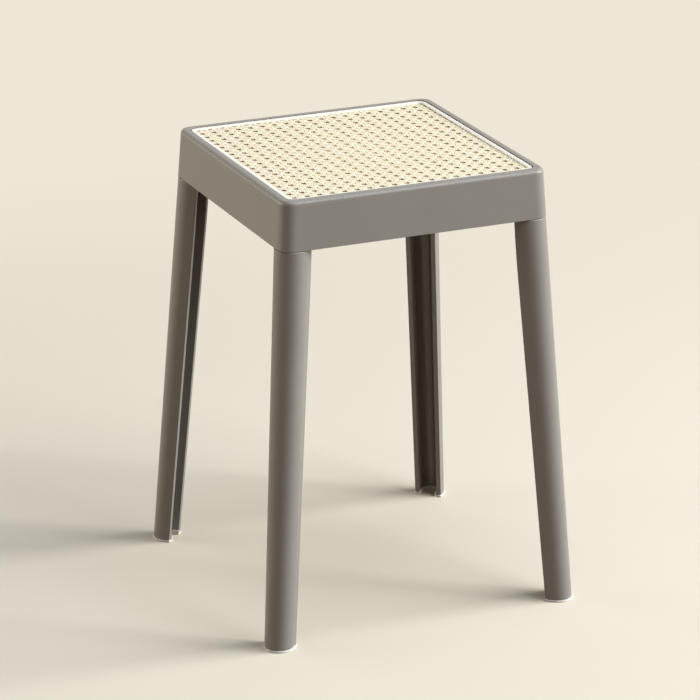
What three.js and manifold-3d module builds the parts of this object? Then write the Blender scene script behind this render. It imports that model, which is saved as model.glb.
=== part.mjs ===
// A square stacking stool: a moulded seat frame on four channel-section legs with
// glides, and a cane-pattern insert that snaps into the top of the frame.
// Millimetres, +Z up, origin on the floor under the middle of the seat, front towards -Y.
import * as THREE from "three";
import { mergeGeometries, mergeVertices } from "three/addons/utils/BufferGeometryUtils.js";
import Module from "manifold-3d";

const wasm = await Module();
wasm.setup();

// Clearances and the overrun of cuts
const fitGap = 0.3;
const cutOverrun = 2;
const weldDistance = 0.001;

// Seat frame: the outside
const seatHeight = 450;
const apronDepth = 49.2;
const apronUpperHalf = 139.3;
const apronFlare = 2.6;
const apronCornerRadius = 12.9;
const apronWall = 3;
const rimFillet = 5.5;
const rimFlat = 3.65;

// Seat frame: the recess, its deck, the groove below the rim and the ribs
const recessCornerRadius = 9.5;
const recessWall = 2.6;
const rimThickness = 3.5;
const deckThickness = 3;
const ribThickness = 2.2;
const ribDepth = 12;
const ribsEachWay = 5;

// Insert: a border that snaps into the recess and holds the web on its board
const insertGap = 0.5;
const insertSetDown = 0.45;
const borderWidth = 5.8;
const borderLip = 0.9;
const borderWall = 2.6;
const borderEdgeRound = 0.6;
const webThickness = 1.8;
const boardThickness = 2.4;

// Web: a net of square gaps between the strands
const webGapsEachWay = 17;
const webGap = 6.2;
const webCornerRadius = 4;

// Snap hooks of the border and their slots in the deck
const hookWidth = 10;
const hookThickness = 1.6;
const hookSetIn = 0.5;
const hookBarb = 0.9;
const hookBarbHeight = 2;

// Legs, each in its own frame with +X outwards along the seat's diagonal
const legInset = 0.53;
const legSplay = 35.4;
const footNoseRound = 15.5;
const shoulderNoseRound = 19;
const footHalfWidth = 14.75;
const shoulderHalfWidth = 17.35;
const footDepth = 22.8;
const shoulderDepth = 27.45;
const edgeEasing = 1.2;
const edgeEasingLength = 62;
const legWall = 5;
const legEdgeRound = 0.9;
const plugThickening = 2;
const plugRootDepth = 12;
const plugBlock = 15;

// Sockets of the seat frame, one round each leg's plug
const socketWall = 2.4;
const socketRise = 4;

// Glides under the legs
const glideSole = 1.8;
const glideOutset = 0.7;
const glideCollar = 1.4;
const glideCollarHeight = 4.6;
const pegRadius = 1.3;
const pegLength = 6;
const pegSetIn = 4.5;

// Leg screws: countersunk, with a cross recess
const screwHeadRadius = 4;
const screwHeadHeight = 2.4;
const screwShankRadius = 2;
const screwLength = 16;
const screwTip = 2.5;
const screwTipRadius = 0.6;
const screwCrossWidth = 1;
const screwCrossLength = 4.6;
const screwCrossDepth = 1.2;
const screwSetIn = 5.2;
const screwSpread = 5;

// Steps on round stretches
const cornerSteps = 7;
const filletSteps = 5;
const noseSteps = 12;
const easingSteps = 3;
const roundSteps = 2;
const screwSides = 16;
const pegSides = 10;

// Heights and half sizes that follow from the sizes above
const apronBottom = seatHeight - apronDepth;
const apronLowerHalf = apronUpperHalf + apronFlare;
const apronCornerReach = (apronLowerHalf - apronCornerRadius) * Math.SQRT2 + apronCornerRadius;
const ribPitch = (2 * (apronLowerHalf - apronWall)) / (ribsEachWay + 1);
const recessHalf = apronUpperHalf - rimFillet - rimFlat;
const insertHalf = recessHalf - insertGap;
const insertCornerRadius = recessCornerRadius - insertGap;
const insertTop = seatHeight - insertSetDown;
const webTop = insertTop - borderLip - fitGap;
const webBottom = webTop - webThickness;
const boardTop = webBottom - fitGap;
const boardBottom = boardTop - boardThickness;
const deckTop = boardBottom - fitGap;
const deckBottom = deckTop - deckThickness;
const rebateHalf = insertHalf - borderWall;
const webHalf = rebateHalf - fitGap;
const openingHalf = insertHalf - borderWidth;
const plugTop = deckBottom - fitGap;
const shoulder = apronBottom - fitGap;
const legBottom = glideSole + fitGap;
const shoulderNose = apronCornerReach - legInset;
const footNose = shoulderNose + legSplay;
const shoulderEdge = shoulderNose - shoulderDepth;
const footEdge = footNose - footDepth;

// Materials
const taupePlastic = new THREE.MeshStandardMaterial({ color: 0x857d74, roughness: 0.5, metalness: 0 });
const ivoryPlastic = new THREE.MeshStandardMaterial({ color: 0xf4efe2, roughness: 0.45, metalness: 0 });
const canePlastic = new THREE.MeshStandardMaterial({ color: 0xf2e3c0, roughness: 0.5, metalness: 0 });
const tanBoard = new THREE.MeshStandardMaterial({ color: 0xb98f5f, roughness: 0.8, metalness: 0 });
const whiteGlide = new THREE.MeshStandardMaterial({ color: 0xf3f0ea, roughness: 0.4, metalness: 0 });
const zincSteel = new THREE.MeshStandardMaterial({ color: 0xb9bcc0, roughness: 0.35, metalness: 1 });

// A geometry as a solid, and back
function solidOf(geometry) {
  const bare = geometry.clone();
  bare.deleteAttribute("normal");
  bare.deleteAttribute("uv");
  const merged = mergeVertices(bare, weldDistance);
  return new wasm.Manifold(
    new wasm.Mesh({
      numProp: 3,
      vertProperties: merged.attributes.position.array,
      triVerts: new Uint32Array(merged.index.array),
    }),
  );
}

function geometryOf(solid) {
  const mesh = solid.getMesh();
  const geometry = new THREE.BufferGeometry();
  geometry.setAttribute("position", new THREE.BufferAttribute(mesh.vertProperties, 3));
  geometry.setIndex(new THREE.BufferAttribute(mesh.triVerts, 1));
  const faceted = geometry.toNonIndexed();
  faceted.computeVertexNormals();
  return faceted;
}

// A stretch of an ellipse as points, from one angle in degrees to another
function ellipse(x, y, radiusX, radiusY, from, to, steps) {
  const start = THREE.MathUtils.degToRad(from);
  const end = THREE.MathUtils.degToRad(to);
  return new THREE.EllipseCurve(x, y, radiusX, radiusY, start, end, to < from).getPoints(steps);
}

function arc(x, y, radius, from, to, steps) {
  return ellipse(x, y, radius, radius, from, to, steps);
}

function roundedSquare(half, radius) {
  const centre = half - radius;
  return [
    ...arc(centre, centre, radius, 0, 90, cornerSteps),
    ...arc(-centre, centre, radius, 90, 180, cornerSteps),
    ...arc(-centre, -centre, radius, 180, 270, cornerSteps),
    ...arc(centre, -centre, radius, 270, 360, cornerSteps),
  ];
}

// A closed body through level outlines with the same number of points, lowest first
function loft(levels) {
  const sides = levels[0].outline.length;
  const points = levels.flatMap(({ outline, z }) => outline.map((p) => [p.x, p.y, z]).flat());
  const faces = [];
  for (let level = 0; level + 1 < levels.length; level++) {
    for (let side = 0; side < sides; side++) {
      const a = level * sides + side;
      const b = level * sides + ((side + 1) % sides);
      faces.push(a, b, b + sides, a, b + sides, a + sides);
    }
  }
  const last = (levels.length - 1) * sides;
  for (const [a, b, c] of THREE.ShapeUtils.triangulateShape(levels[0].outline, [])) {
    faces.push(a, c, b);
  }
  for (const [a, b, c] of THREE.ShapeUtils.triangulateShape(levels.at(-1).outline, [])) {
    faces.push(last + a, last + b, last + c);
  }
  const geometry = new THREE.BufferGeometry();
  geometry.setAttribute("position", new THREE.Float32BufferAttribute(points, 3));
  geometry.setIndex(faces);
  return geometry;
}

function prism(outline, bottom, top) {
  return loft([
    { outline, z: bottom },
    { outline, z: top },
  ]);
}

// A box from its middle in plan, its lowest height and its sizes
function block(x, y, bottom, sizeX, sizeY, sizeZ) {
  return new THREE.BoxGeometry(sizeX, sizeY, sizeZ).translate(x, y, bottom + sizeZ / 2);
}

// The four corners, with the turn that puts a leg's own frame on each diagonal
const corners = [
  { name: "front_left", turn: THREE.MathUtils.degToRad(225) },
  { name: "front_right", turn: THREE.MathUtils.degToRad(315) },
  { name: "back_left", turn: THREE.MathUtils.degToRad(135) },
  { name: "back_right", turn: THREE.MathUtils.degToRad(45) },
];

// The leg's section at a height: where its nose and open edge are, how deep the nose's round is,
// and the half width
function legStation(z) {
  const share = z / shoulder;
  const eased = Math.max(0, (z - (shoulder - edgeEasingLength)) / edgeEasingLength);
  return {
    nose: THREE.MathUtils.lerp(footNose, shoulderNose, share),
    noseRound: THREE.MathUtils.lerp(footNoseRound, shoulderNoseRound, share),
    halfWidth: THREE.MathUtils.lerp(footHalfWidth, shoulderHalfWidth, share),
    edge: THREE.MathUtils.lerp(footEdge, shoulderEdge, share) + edgeEasing * eased * eased,
  };
}

// The nose of a leg's section, half an ellipse from flank to flank, moved outwards by an offset
function noseLine({ nose, noseRound, halfWidth }, offset) {
  return ellipse(nose - noseRound, 0, noseRound + offset, halfWidth + offset, -90, 90, noseSteps);
}

// The whole outside of a leg's section as a filled outline, open edge included
function filledSection(station, offset, edgeOutset) {
  const half = station.halfWidth + offset;
  const edge = station.edge - edgeOutset;
  return [new THREE.Vector2(edge, -half), ...noseLine(station, offset), new THREE.Vector2(edge, half)];
}

// The same with the outer corners of the two arms rounded
function roundedSection(station) {
  const half = station.halfWidth - legEdgeRound;
  const edge = station.edge + legEdgeRound;
  return [
    ...arc(edge, -half, legEdgeRound, 180, 270, roundSteps),
    ...noseLine(station, 0),
    ...arc(edge, half, legEdgeRound, 90, 180, roundSteps),
  ];
}

// A band that follows the leg's wall: from one offset out to another, with its ends at the open edge
function wallBand(station, outer, inner, edgeOutset) {
  const edge = station.edge - edgeOutset;
  const outside = noseLine(station, outer);
  const inside = noseLine(station, inner).reverse();
  return [
    new THREE.Vector2(edge, -station.halfWidth - outer),
    ...outside,
    new THREE.Vector2(edge, station.halfWidth + outer),
    new THREE.Vector2(edge, station.halfWidth + inner),
    ...inside,
    new THREE.Vector2(edge, -station.halfWidth - inner),
  ];
}

// Heights where a leg's outline changes its run
function legHeights(bottom, top) {
  const easingStart = shoulder - edgeEasingLength;
  const easing = Array.from(
    { length: easingSteps + 1 },
    (_, step) => easingStart + (edgeEasingLength * step) / easingSteps,
  );
  return [bottom, ...easing.filter((z) => z > bottom && z < top), top];
}

function legBody(section, bottom, top) {
  return solidOf(loft(legHeights(bottom, top).map((z) => ({ outline: section(legStation(z)), z }))));
}

// The space inside the apron's wall, moved inwards by a gap
function apronInside(gap, bottom, top) {
  const slope = (apronLowerHalf - apronUpperHalf) / (seatHeight - rimFillet - apronBottom);
  const level = (z) => ({
    outline: roundedSquare(
      apronLowerHalf - slope * (z - apronBottom) - apronWall - gap,
      apronCornerRadius - apronWall - gap,
    ),
    z,
  });
  return loft([level(bottom), level(top)]);
}

// Where each leg's two screws stand, in the leg's own frame
const screwX = legStation(plugTop).edge + screwSetIn;
const screwPlaces = [-screwSpread, screwSpread];

// The turns that put +X on each side of the border, and the hooks along a side, each midway between two ribs
const hookTurns = [0, 90, 180, 270].map((degrees) => THREE.MathUtils.degToRad(degrees));
const hookPlace = ribPitch + ribPitch / 2;
const hookPlaces = [-hookPlace, hookPlace];
const hookMiddle = insertHalf - hookSetIn - hookThickness / 2;

function turned(geometry, angle) {
  return geometry.clone().rotateZ(angle);
}

// A rod standing on a height, in a leg's own frame
function rod(x, y, bottom, radius, length, sides) {
  return new THREE.CylinderGeometry(radius, radius, length, sides)
    .rotateX(Math.PI / 2)
    .translate(x, y, bottom + length / 2);
}

// Seat frame: apron, rim, recess, deck, ribs, sockets, slots and screw holes in one moulding
function seatFrame() {
  const outside = [
    { outline: roundedSquare(apronLowerHalf, apronCornerRadius), z: apronBottom },
    ...arc(apronUpperHalf - rimFillet, seatHeight - rimFillet, rimFillet, 0, 90, filletSteps).map((p) => ({
      outline: roundedSquare(p.x, apronCornerRadius - (apronUpperHalf - p.x)),
      z: p.y,
    })),
  ];
  let frame = solidOf(loft(outside));
  const recess = prism(roundedSquare(recessHalf, recessCornerRadius), deckTop, seatHeight + cutOverrun);
  frame = frame.subtract(solidOf(recess));
  frame = frame.subtract(solidOf(apronInside(0, apronBottom - cutOverrun, deckBottom)));
  const grooveInside = prism(
    roundedSquare(recessHalf + recessWall, recessCornerRadius + recessWall),
    deckBottom - 2 * cutOverrun,
    seatHeight,
  );
  const groove = solidOf(apronInside(0, deckBottom - cutOverrun, seatHeight - rimThickness));
  frame = frame.subtract(groove.subtract(solidOf(grooveInside)));

  const ribSpan = 2 * apronUpperHalf - apronWall;
  const ribBottom = deckBottom - ribDepth;
  const ribHeight = ribDepth + deckThickness / 2;
  for (let rib = 0; rib < ribsEachWay; rib++) {
    const place = (rib - (ribsEachWay - 1) / 2) * ribPitch;
    frame = frame.add(solidOf(block(0, place, ribBottom, ribSpan, ribThickness, ribHeight)));
    frame = frame.add(solidOf(block(place, 0, ribBottom, ribThickness, ribSpan, ribHeight)));
  }

  const socketBottom = apronBottom + socketRise;
  const socketSection = (station) => filledSection(station, fitGap + socketWall, fitGap + socketWall);
  const plugSpace = (station) => filledSection(station, fitGap, fitGap);
  const insideApron = solidOf(apronInside(-apronWall / 2, socketBottom - cutOverrun, deckTop));
  const socket = geometryOf(legBody(socketSection, socketBottom, deckBottom + deckThickness / 2));
  const space = geometryOf(legBody(plugSpace, apronBottom - cutOverrun, plugTop + fitGap));
  const keptInside = solidOf(apronInside(0, apronBottom - cutOverrun - fitGap, plugTop + fitGap));
  for (const { turn } of corners) {
    frame = frame.add(solidOf(turned(socket, turn)).intersect(insideApron));
    frame = frame.subtract(solidOf(turned(space, turn)).intersect(keptInside));
    for (const y of screwPlaces) {
      const sinkHeight = screwHeadHeight + fitGap;
      const sinkBottom = deckTop - sinkHeight;
      const sink = new THREE.CylinderGeometry(
        screwHeadRadius + fitGap,
        screwShankRadius + fitGap,
        sinkHeight,
        screwSides,
      )
        .rotateX(Math.PI / 2)
        .translate(screwX, y, sinkBottom + sinkHeight / 2);
      const holeBottom = deckBottom - cutOverrun;
      const hole = rod(screwX, y, holeBottom, screwShankRadius + fitGap, deckThickness + cutOverrun, screwSides);
      frame = frame.subtract(solidOf(turned(hole, turn))).subtract(solidOf(turned(sink, turn)));
    }
  }

  for (const turn of hookTurns) {
    for (const place of hookPlaces) {
      const slot = block(
        hookMiddle,
        place,
        deckBottom - cutOverrun,
        hookThickness + 2 * fitGap,
        hookWidth + 2 * fitGap,
        deckThickness + 2 * cutOverrun,
      );
      frame = frame.subtract(solidOf(turned(slot, turn)));
    }
  }
  return geometryOf(frame);
}

// Border: a ring with a thin lip over the web, and eight hooks below
function insertBorder() {
  const roundedTop = arc(insertHalf - borderEdgeRound, insertTop - borderEdgeRound, borderEdgeRound, 0, 90, roundSteps);
  const levels = [
    { outline: roundedSquare(insertHalf, insertCornerRadius), z: boardBottom },
    ...roundedTop.map((p) => ({
      outline: roundedSquare(p.x, insertCornerRadius - (insertHalf - p.x)),
      z: p.y,
    })),
  ];
  let ring = solidOf(loft(levels));
  const rebate = prism(roundedSquare(rebateHalf, webCornerRadius + fitGap), boardBottom - cutOverrun, webTop + fitGap);
  const opening = prism(
    roundedSquare(openingHalf, webCornerRadius),
    boardBottom - cutOverrun,
    insertTop + cutOverrun,
  );
  ring = ring.subtract(solidOf(rebate)).subtract(solidOf(opening));
  const barbTop = deckBottom - fitGap;
  const barbBottom = barbTop - hookBarbHeight;
  const stemHeight = boardBottom + borderWall - barbBottom;
  for (const turn of hookTurns) {
    for (const place of hookPlaces) {
      const stem = block(hookMiddle, place, barbBottom, hookThickness, hookWidth, stemHeight);
      const profile = new THREE.Shape([
        new THREE.Vector2(hookMiddle, barbBottom),
        new THREE.Vector2(hookMiddle + hookThickness / 2, barbBottom),
        new THREE.Vector2(hookMiddle + hookThickness / 2 + hookBarb, barbTop),
        new THREE.Vector2(hookMiddle, barbTop),
      ]);
      const barb = new THREE.ExtrudeGeometry(profile, { depth: hookWidth, bevelEnabled: false })
        .rotateX(Math.PI / 2)
        .translate(0, place + hookWidth / 2, 0);
      ring = ring.add(solidOf(turned(stem, turn))).add(solidOf(turned(barb, turn)));
    }
  }
  return geometryOf(ring);
}

// Web: a sheet with a square gap in every cell of its open part
function caneWebbing() {
  const sheet = solidOf(prism(roundedSquare(webHalf, webCornerRadius), webBottom, webTop));
  const pitch = (2 * openingHalf) / webGapsEachWay;
  const cells = Array.from({ length: webGapsEachWay }, (_, cell) => (cell - (webGapsEachWay - 1) / 2) * pitch);
  const gapHeight = webThickness + 2 * cutOverrun;
  const gaps = cells.flatMap((x) =>
    cells.map((y) => block(x, y, webBottom - cutOverrun, webGap, webGap, gapHeight)),
  );
  return geometryOf(sheet.subtract(solidOf(mergeGeometries(gaps))));
}

function backingBoard() {
  return prism(roundedSquare(webHalf, webCornerRadius), boardBottom, boardTop);
}

// Where each glide's pegs stand: in the middle of each arm's wall
const pegStation = legStation(legBottom);
const pegX = pegStation.edge + pegSetIn;
const pegPlaces = [-1, 1].map((side) => side * (pegStation.halfWidth - legWall / 2));

// Leg: a channel from the glide to the shoulder, and a plug with a block that takes the screws
function leg() {
  let body = legBody(roundedSection, legBottom, plugTop);
  const below = legBody(roundedSection, legBottom, shoulder);
  body = body.intersect(solidOf(apronInside(fitGap, shoulder, plugTop + cutOverrun).rotateZ(Math.PI / 4))).add(below);
  const rootHeight = shoulder - plugRootDepth;
  const channel = (wall) => (station) => filledSection(station, -wall, cutOverrun);
  const lower = legBody(channel(legWall), 0, rootHeight);
  const upper = legBody(channel(legWall + plugThickening), rootHeight - cutOverrun, plugTop - plugBlock);
  body = body.subtract(lower).subtract(upper);
  for (const y of screwPlaces) {
    const depth = screwLength - deckThickness + fitGap;
    body = body.subtract(
      solidOf(rod(screwX, y, plugTop - depth, screwShankRadius + fitGap, depth + cutOverrun, screwSides)),
    );
  }
  for (const y of pegPlaces) {
    const depth = pegLength + fitGap;
    body = body.subtract(
      solidOf(rod(pegX, y, legBottom - cutOverrun, pegRadius + fitGap, depth + cutOverrun, pegSides)),
    );
  }
  return geometryOf(body);
}

// Glide: a sole under the leg's wall, a collar inside the channel and two pegs
function glide() {
  const innerFace = -legWall - fitGap;
  const endOutset = fitGap + glideOutset;
  const sole = (station) => wallBand(station, glideOutset, innerFace - glideCollar, endOutset);
  const collar = (station) => wallBand(station, innerFace, innerFace - glideCollar, endOutset);
  let body = legBody(sole, 0, glideSole).add(legBody(collar, 0, glideCollarHeight));
  for (const y of pegPlaces) {
    const pegBottom = glideSole / 2;
    body = body.add(solidOf(rod(pegX, y, pegBottom, pegRadius, legBottom + pegLength - pegBottom, pegSides)));
  }
  return geometryOf(body);
}

// Countersunk screw with its head's top at height zero, and a cross recess in it
function legScrew() {
  const outline = [
    [0, -screwLength],
    [screwTipRadius, -screwLength],
    [screwShankRadius, screwTip - screwLength],
    [screwShankRadius, -screwHeadHeight],
    [screwHeadRadius, 0],
    [0, 0],
  ].map(([x, y]) => new THREE.Vector2(x, y));
  const body = new THREE.LatheGeometry(outline, screwSides).rotateX(Math.PI / 2);
  const crossHeight = screwCrossDepth + cutOverrun;
  const across = block(0, 0, -screwCrossDepth, screwCrossLength, screwCrossWidth, crossHeight);
  const along = block(0, 0, -screwCrossDepth, screwCrossWidth, screwCrossLength, crossHeight);
  return geometryOf(solidOf(body).subtract(solidOf(across)).subtract(solidOf(along)));
}

function named(name, geometry, material) {
  const mesh = new THREE.Mesh(geometry, material);
  mesh.name = name;
  return mesh;
}

const stool = new THREE.Group();
stool.add(named("seat_frame", seatFrame(), taupePlastic));
stool.add(named("insert_border", insertBorder(), ivoryPlastic));
stool.add(named("cane_webbing", caneWebbing(), canePlastic));
stool.add(named("backing_board", backingBoard(), tanBoard));

const legShape = leg();
const glideShape = glide();
const screwShape = legScrew();
for (const { name, turn } of corners) {
  const corner = new THREE.Group();
  corner.rotation.z = turn;
  corner.add(named(`leg_${name}`, legShape, taupePlastic));
  corner.add(named(`glide_${name}`, glideShape, whiteGlide));
  screwPlaces.forEach((y, index) => {
    const screw = named(`leg_screw_${name}_${"ab"[index]}`, screwShape, zincSteel);
    screw.position.set(screwX, y, deckTop - fitGap / 2);
    corner.add(screw);
  });
  stool.add(corner);
}

export default stool;
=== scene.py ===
# %% [markdown]
# # A stacking stool with a woven seat
#
# This lesson dresses a square stool. A taupe plastic seat frame stands on four channel-shaped
# legs with white glides. An ivory border, snapped into the frame, holds a cream cane web.
# The solids come from a CAD model, which stays fixed as a frame: it says where everything is.
# Blender then makes finer surfaces of the same size, and gives each surface its finish.
# Lengths are in metres, +Z is up, and the front side of the seat faces -Y.

# %% Load the fixed frame
import math

import bmesh
import bpy
from mathutils import Matrix, Vector


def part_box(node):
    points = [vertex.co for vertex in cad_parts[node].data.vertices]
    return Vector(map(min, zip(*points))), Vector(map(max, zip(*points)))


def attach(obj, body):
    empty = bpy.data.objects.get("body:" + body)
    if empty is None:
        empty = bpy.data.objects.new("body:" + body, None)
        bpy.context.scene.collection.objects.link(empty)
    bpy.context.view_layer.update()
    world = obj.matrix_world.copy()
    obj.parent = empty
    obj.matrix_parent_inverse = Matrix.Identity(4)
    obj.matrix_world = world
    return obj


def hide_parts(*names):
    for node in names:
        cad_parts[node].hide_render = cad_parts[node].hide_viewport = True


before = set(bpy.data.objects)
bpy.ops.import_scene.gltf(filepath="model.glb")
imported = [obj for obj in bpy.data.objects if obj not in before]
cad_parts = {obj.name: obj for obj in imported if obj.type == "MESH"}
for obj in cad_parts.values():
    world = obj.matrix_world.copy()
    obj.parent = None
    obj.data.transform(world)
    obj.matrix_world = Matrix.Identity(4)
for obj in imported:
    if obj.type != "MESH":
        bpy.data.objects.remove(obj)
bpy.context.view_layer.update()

mm = 0.001

# %% [markdown]
# ## The camera
#
# The camera is the first thing to settle. It was fitted to the straight edges of the seat and
# the legs. It stands 3.7 m away with a long lens, so the stool hardly tapers. A camera can be
# aimed with an empty and a constraint, but three plain axes say exactly how it is turned, so
# they are written here.

# %% Aim the camera
camera_azimuth = math.radians(23.687)
camera_elevation = math.radians(19.915)
camera_distance = 3.6934
camera_lens_mm = 187.96
sensor_width_mm = 36
camera_target = Vector((0, 0, 0.225))
camera_shift = Vector((-0.00889, 0.01115))

sin_azimuth = math.sin(camera_azimuth)
cos_azimuth = math.cos(camera_azimuth)
level_back = Vector((-sin_azimuth, -cos_azimuth, 0))
right = Vector((cos_azimuth, -sin_azimuth, 0))
back = level_back * math.cos(camera_elevation) + Vector((0, 0, math.sin(camera_elevation)))
up = back.cross(right)
place = camera_target + back * camera_distance + right * camera_shift.x + up * camera_shift.y

camera = bpy.data.objects.new("camera", bpy.data.cameras.new("camera"))
bpy.context.scene.collection.objects.link(camera)
camera.data.sensor_fit = "HORIZONTAL"
camera.data.sensor_width = sensor_width_mm
camera.data.lens = camera_lens_mm
axes = Matrix((right, up, back)).transposed()
camera.matrix_world = Matrix.Translation(place) @ axes.to_4x4()
bpy.context.scene.camera = camera
print("camera at", [round(value, 3) for value in place])

# %% [markdown]
# ## Tools for making solids
#
# Moulded plastic is made of walls that follow an outline. One outline per height, skinned to a
# body, gives every such wall, with its draft and its round edges. This is called a loft. Box
# modelling with modifiers would be quicker to start, but a loft takes each size as a number.

# %% Put a mesh in the scene
def face_outwards(mesh):
    """Turn the faces of closed solids so that they all look outwards."""
    shape = bmesh.new()
    shape.from_mesh(mesh)
    bmesh.ops.recalc_face_normals(shape, faces=shape.faces)
    if shape.calc_volume(signed=True) < 0:
        bmesh.ops.reverse_faces(shape, faces=shape.faces)
    shape.to_mesh(mesh)
    shape.free()


def add_piece(name, points, faces):
    """A new object from points and faces."""
    mesh = bpy.data.meshes.new(name)
    mesh.from_pydata(points, [], faces)
    face_outwards(mesh)
    piece = bpy.data.objects.new(name, mesh)
    bpy.context.scene.collection.objects.link(piece)
    return piece


# %% Skin a row of outlines
def loft(name, outlines, ring=False):
    """A body through outlines of the same number of points: capped, or closed into a ring."""
    sides = len(outlines[0])
    rows = len(outlines)
    points = [point for outline in outlines for point in outline]
    faces = []
    for row in range(rows if ring else rows - 1):
        here = row * sides
        there = (row + 1) % rows * sides
        for side in range(sides):
            beside = (side + 1) % sides
            faces.append((here + side, here + beside, there + beside, there + side))
    if not ring:
        faces.append(tuple(range(sides)))
        faces.append(tuple(range((rows - 1) * sides, rows * sides)))
    return add_piece(name, points, faces)


# %% Draw round outlines
def ellipse(x, y, radius_x, radius_y, start, end, steps):
    """A stretch of an ellipse as points in the plane, from one angle in degrees to another."""
    angles = [math.radians(start + (end - start) * step / steps) for step in range(steps + 1)]
    return [(x + radius_x * math.cos(angle), y + radius_y * math.sin(angle)) for angle in angles]


def arc(x, y, radius, start, end, steps):
    return ellipse(x, y, radius, radius, start, end, steps)


corner_steps = 16
corner_reach = 1.2
corner_power = 2.481


def rounded_square(half, radius, z):
    """A square about the middle. Its corners ease into the sides, and bulge like round ones."""
    reach = radius * corner_reach
    points = []
    for quarter in range(4):
        for step in range(corner_steps + 1):
            angle = math.pi / 2 * step / corner_steps
            x = half - reach + reach * math.cos(angle) ** (2 / corner_power)
            y = half - reach + reach * math.sin(angle) ** (2 / corner_power)
            for _ in range(quarter):
                x, y = -y, x
            points.append((x, y, z))
    return points


# %% [markdown]
# ## Cutting and joining
#
# Sockets, slots and screw holes are cut with Boolean modifiers, which are exact here because
# all the bodies are closed. A modifier stays live until its result is read from the evaluated
# object, so one small function reads the result back and drops the modifiers.
# At the end of each piece its shading is settled: flat faces have to stay flat next to round
# edges, and the Weighted Normal modifier does that by letting large faces win.

# %% Settle modifiers into the mesh
def settle(piece):
    """Turn what the modifiers make into the piece's own mesh."""
    evaluated = piece.evaluated_get(bpy.context.evaluated_depsgraph_get())
    old = piece.data
    piece.data = bpy.data.meshes.new_from_object(evaluated)
    piece.modifiers.clear()
    bpy.data.meshes.remove(old)
    piece.data.name = piece.name


def combine(piece, tool, operation):
    """Join, cut or keep with another closed solid, which is used up."""
    boolean = piece.modifiers.new("combine", "BOOLEAN")
    boolean.operation = operation
    boolean.solver = "MANIFOLD"
    boolean.object = tool
    settle(piece)
    bpy.data.objects.remove(tool)


# %% Shade a finished piece
merge_distance = 1e-6
sharp_angle = math.radians(32)


def shade(piece, material):
    """Smooth shading with crisp edges and flat flats, and one material."""
    shape = bmesh.new()
    shape.from_mesh(piece.data)
    bmesh.ops.remove_doubles(shape, verts=shape.verts, dist=merge_distance)
    open_edges = sum(not edge.is_manifold for edge in shape.edges)
    volume = shape.calc_volume(signed=True)
    shape.to_mesh(piece.data)
    shape.free()
    piece.data.shade_smooth()
    piece.data.set_sharp_from_angle(angle=sharp_angle)
    weighted = piece.modifiers.new("weighted normals", "WEIGHTED_NORMAL")
    weighted.keep_sharp = True
    settle(piece)
    piece.data.materials.clear()
    piece.data.materials.append(material)
    faces = len(piece.data.polygons)
    print(f"{piece.name}: {faces} faces, {volume / mm**3 / 1000:.2f} cm3, {open_edges} open edges")


# %% [markdown]
# ## Tools for node trees
#
# Geometry and materials both come from node trees here. Building them in code is repetitive,
# so one function adds a node, sets its options, and plugs its inputs in order.

# %% Add a node and plug it
def put(tree, kind, *plugs, **settings):
    """Add a node. Each plug is a value, another node's output, or None to leave it be."""
    node = tree.nodes.new(kind)
    for option, value in settings.items():
        setattr(node, option, value)
    sockets = [socket for socket in node.inputs if socket.enabled]
    for socket, plug in zip(sockets, plugs):
        if isinstance(plug, bpy.types.NodeSocket):
            tree.links.new(plug, socket)
        elif plug is not None:
            socket.default_value = plug
    return node


def result(node):
    """The first output of a node that is in use."""
    return next(socket for socket in node.outputs if socket.enabled)


def maths(tree, operation, *plugs):
    return result(put(tree, "ShaderNodeMath", *plugs, operation=operation))


def ramp(tree, plug, span, first, last):
    """A colour that passes from the first to the last over a span of the plug's value."""
    hue = put(tree, "ShaderNodeValToRGB", plug)
    for stop, position, colour in zip(hue.color_ramp.elements, span, (first, last)):
        stop.position = position
        stop.color = (*colour, 1)
    return result(hue)


# %% Start a finish and plug it in
def start_finish(name):
    """A new material, its node tree and its shader."""
    material = bpy.data.materials.new(name)
    material.use_nodes = True
    return material, material.node_tree, material.node_tree.nodes["Principled BSDF"]


def plug_in(shader, colour=None, roughness=None, normal=None):
    """Link what a tree works out to the shader."""
    for label, plug in (("Base Color", colour), ("Roughness", roughness), ("Normal", normal)):
        if plug is not None:
            shader.id_data.links.new(plug, shader.inputs[label])


# %% Start and run a geometry tree
def start_tree(name, inputs):
    """A geometry tree with named inputs; gives the tree and a look-up of their sockets."""
    tree = bpy.data.node_groups.new(name, "GeometryNodeTree")
    tree.interface.new_socket("Geometry", in_out="INPUT", socket_type="NodeSocketGeometry")
    for label, kind in inputs:
        tree.interface.new_socket(label, in_out="INPUT", socket_type=f"NodeSocket{kind}")
    tree.interface.new_socket("Geometry", in_out="OUTPUT", socket_type="NodeSocketGeometry")
    return tree, tree.nodes.new("NodeGroupInput").outputs


def end_tree(tree, geometry, material):
    """Realize the instances, give them their material and hand them out."""
    real = put(tree, "GeometryNodeRealizeInstances", geometry)
    painted = put(tree, "GeometryNodeSetMaterial", result(real), None, material)
    put(tree, "NodeGroupOutput", result(painted))


def grow(piece, tree, values):
    """Run a tree on a piece with these inputs, and keep the plain mesh."""
    modifier = piece.modifiers.new(tree.name, "NODES")
    modifier.node_group = tree
    for item in tree.interface.items_tree:
        if item.in_out == "INPUT" and item.name in values:
            modifier[item.identifier] = values[item.name]
    settle(piece)
    face_outwards(piece.data)


# %% [markdown]
# ## Finish 1: moulded taupe plastic
#
# The frame and the legs are moulded from one taupe plastic with a satin surface. Real satin
# comes from a fine grain etched into the mould, so the grain is made as bump and as small
# changes of roughness. A slow noise adds the slight unevenness of hue and the shallow waviness
# that large mouldings have. All noise reads object coordinates, so it sticks to the piece.

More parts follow.
